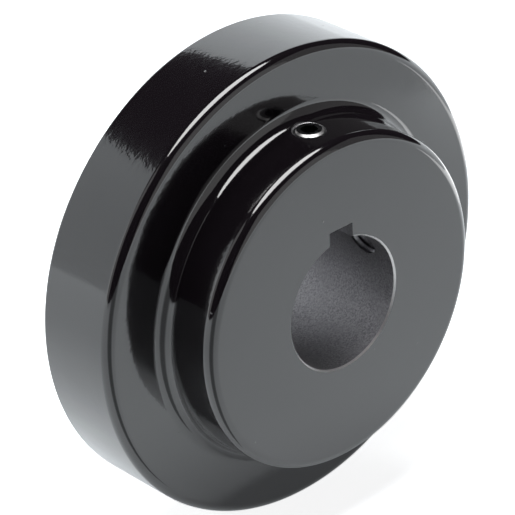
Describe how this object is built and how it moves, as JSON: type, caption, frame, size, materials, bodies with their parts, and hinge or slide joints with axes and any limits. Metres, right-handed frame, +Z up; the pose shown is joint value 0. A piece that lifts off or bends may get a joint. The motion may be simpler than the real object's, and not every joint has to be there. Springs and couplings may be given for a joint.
{
  "type": "elastomer coupling",
  "caption": "Flanged black shaft coupling whose two bored and keyed hubs drive each other through elastomer blocks inside its round rim.",
  "frame": {"origin": "on the shaft axis, at the middle of the coupling's length", "axes": "+Y along the shaft from the drive hub's boss to the driven hub's boss, +Z up through both keyways, +X to the right as seen from the drive side"},
  "size_m": [0.1016, 0.0566, 0.1016],
  "materials": {
    "hub_paint": "gloss black enamel over cast iron, bare machined bore and keyway",
    "elastomer": "moulded black rubber, matt",
    "ring_steel": "turned and zinc plated steel",
    "screw_steel": "black oxide alloy steel"
  },
  "bodies": {
    "drive_half": {"drive_hub": "hub_paint", "end_ring": "ring_steel", "end_ring_screws": "screw_steel", "elastomer_block_01": "elastomer", "elastomer_block_02": "elastomer", "elastomer_block_03": "elastomer", "elastomer_block_04": "elastomer", "elastomer_block_05": "elastomer", "elastomer_block_06": "elastomer", "elastomer_block_07": "elastomer", "elastomer_block_08": "elastomer", "elastomer_block_09": "elastomer", "elastomer_block_10": "elastomer", "elastomer_block_11": "elastomer", "elastomer_block_12": "elastomer"},
    "driven_half": {"driven_hub": "hub_paint"},
    "drive_key_screw": {"drive_key_set_screw": "screw_steel"},
    "drive_side_screw": {"drive_side_set_screw": "screw_steel"},
    "driven_key_screw": {"driven_key_set_screw": "screw_steel"},
    "driven_side_screw": {"driven_side_set_screw": "screw_steel"}
  },
  "joints": [
    {"name": "wind_up", "type": "hinge", "parent": "drive_half", "child": "driven_half", "pos_m": [0, 0, 0], "axis": [0, 1, 0], "range_deg": [-3, 3], "stiffness_Nm_per_rad": 1000, "deforming": ["elastomer_block_01", "elastomer_block_02", "elastomer_block_03", "elastomer_block_04", "elastomer_block_05", "elastomer_block_06", "elastomer_block_07", "elastomer_block_08", "elastomer_block_09", "elastomer_block_10", "elastomer_block_11", "elastomer_block_12"]},
    {"name": "drive_key_screw_travel", "type": "slide", "parent": "drive_half", "child": "drive_key_screw", "axis": [0, 0, -1], "range_m": [-0.006, 0.0066]},
    {"name": "drive_side_screw_travel", "type": "slide", "parent": "drive_half", "child": "drive_side_screw", "axis": [-0.9063, 0, -0.4226], "range_m": [-0.006, 0.0094]},
    {"name": "driven_key_screw_travel", "type": "slide", "parent": "driven_half", "child": "driven_key_screw", "axis": [0, 0, -1], "range_m": [-0.003, 0.0009]},
    {"name": "driven_side_screw_travel", "type": "slide", "parent": "driven_half", "child": "driven_side_screw", "axis": [0.9063, 0, -0.4226], "range_m": [-0.003, 0.0037]}
  ]
}
